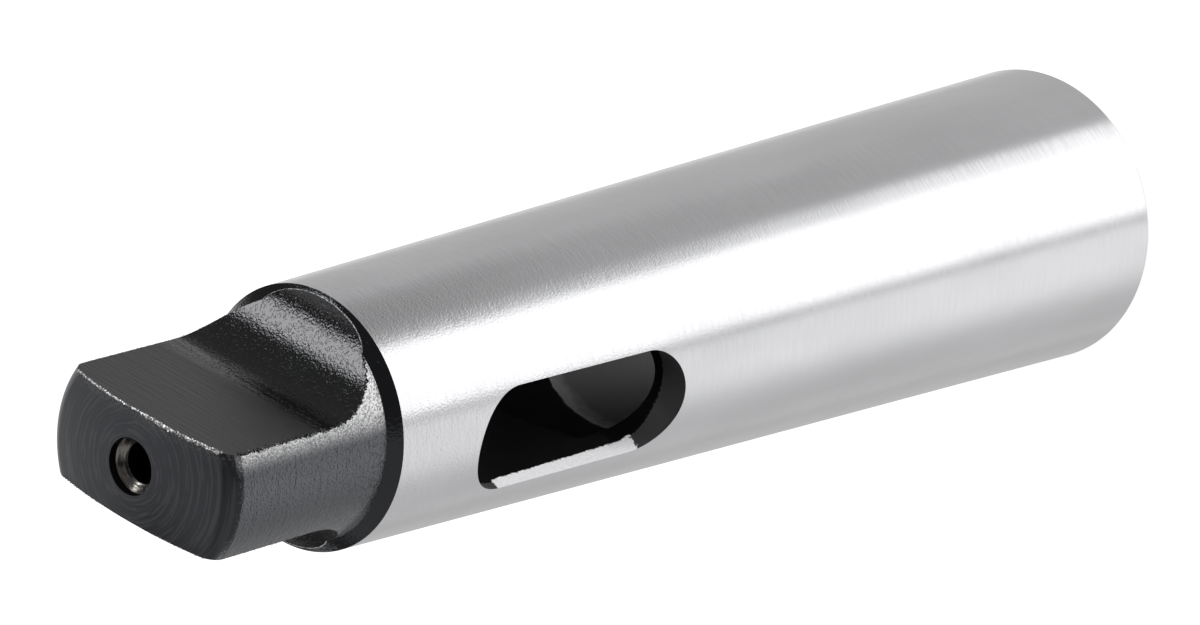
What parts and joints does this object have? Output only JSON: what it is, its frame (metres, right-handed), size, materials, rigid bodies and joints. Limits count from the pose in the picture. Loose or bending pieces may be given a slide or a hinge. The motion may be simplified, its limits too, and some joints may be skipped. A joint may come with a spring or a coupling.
{
  "type": "taper reduction sleeve",
  "caption": "Hollow steel reduction sleeve with a ground outer taper, a tapered tool socket, a drift slot and a flattened tang with scooped run-outs.",
  "frame": {"origin": "centre of the large end's face, on the sleeve's axis", "axes": "+Z along the sleeve's axis from the large end to the tang, Y through the drift slot and along the tang's flats, X square to the flats"},
  "size_m": [0.0324, 0.0324, 0.14],
  "materials": {
    "steel": "ground bright on the outer taper, blackened on the tang, the shoulder and the slot"
  },
  "bodies": {
    "root": {"taper_sleeve": "steel"}
  },
  "joints": []
}
